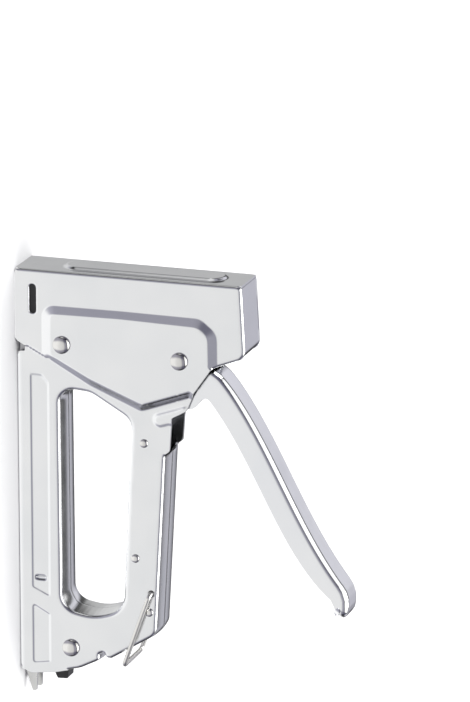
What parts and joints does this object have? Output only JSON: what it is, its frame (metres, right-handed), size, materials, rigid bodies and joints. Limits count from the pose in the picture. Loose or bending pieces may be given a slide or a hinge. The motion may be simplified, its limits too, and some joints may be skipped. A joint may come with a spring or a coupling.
{
  "type": "hand staple gun",
  "caption": "Hand staple gun of pressed steel with a squeeze lever, hand hole, sprung striker, rear-loading magazine and wire lever lock.",
  "frame": {"origin": "on the work face at the front of the nose, midway between the two shells: where the staple leaves the tool", "axes": "+X from the nose to the rear of the magazine, +Y from the side seen in the picture to the far side, +Z from the work face up to the squeeze lever"},
  "size_m": [0.1741, 0.027, 0.133],
  "materials": {
    "chrome_shell": "bright nickel-chrome plate over pressed steel",
    "chrome_plate": "bright nickel-chrome plate over pressed steel",
    "chrome_lever": "bright nickel-chrome plate over folded steel",
    "rivet_steel": "polished domed steel",
    "bail_wire": "bright drawn wire",
    "inner_steel": "plain oiled steel",
    "spring_steel": "oil-tempered spring wire",
    "tab_steel": "zinc-plated folded steel",
    "black_plastic": "moulded nylon, slightly satin"
  },
  "bodies": {
    "housing": {"left_shell": "chrome_shell", "right_shell": "chrome_shell", "front_plate": "chrome_plate", "head_cap": "chrome_plate", "rear_plug": "black_plastic", "front_rivet": "rivet_steel", "pivot_rivet": "rivet_steel", "rear_rivet": "rivet_steel", "grip_rivets": "rivet_steel", "main_spacers": "inner_steel", "grip_spacers": "inner_steel", "pivot_bushes": "inner_steel", "pivot_sleeve": "inner_steel", "spring_seat": "inner_steel", "power_spring": "spring_steel", "return_spring": "spring_steel", "nose_guide": "black_plastic", "magazine_channel": "inner_steel", "staple_rail": "inner_steel"},
    "lever": {"lever_handle": "chrome_lever", "lift_pin": "inner_steel"},
    "hammer": {"striker": "inner_steel", "driver_blade": "inner_steel", "blade_rivets": "rivet_steel"},
    "bail": {"lock_bail": "bail_wire"},
    "loader": {"guide_rod": "inner_steel", "pull_tab": "tab_steel", "pusher_spring": "spring_steel"},
    "follower": {"pusher": "inner_steel"}
  },
  "joints": [
    {"name": "lever_squeeze", "type": "hinge", "parent": "housing", "child": "lever", "pos_m": [0.031, 0, 0.0669], "axis": [0, 1, 0], "range_deg": [0, 35], "stiffness_Nm_per_rad": 0.5, "springref_deg": -17.19, "deforming": ["return_spring"]},
    {"name": "striker_lift", "type": "slide", "parent": "housing", "child": "hammer", "axis": [0, 0, 1], "range_m": [0, 0.0134], "stiffness_N_per_m": 160, "springref_m": -0.012, "deforming": ["power_spring"]},
    {"name": "bail_swing", "type": "hinge", "parent": "housing", "child": "bail", "pos_m": [0.1264, 0, 0.0542], "axis": [0, 1, 0], "range_deg": [-72, 7]},
    {"name": "loader_pull", "type": "slide", "parent": "housing", "child": "loader", "axis": [1, 0, 0], "range_m": [0, 0.12]},
    {"name": "pusher_slide", "type": "slide", "parent": "loader", "child": "follower", "axis": [1, 0, 0], "range_m": [0, 0.07], "stiffness_N_per_m": 25, "springref_m": -0.04, "deforming": ["pusher_spring"]}
  ],
  "couplings": [
    {"joint": "striker_lift", "follows": "lever_squeeze", "m_per_rad": 0.02164}
  ]
}
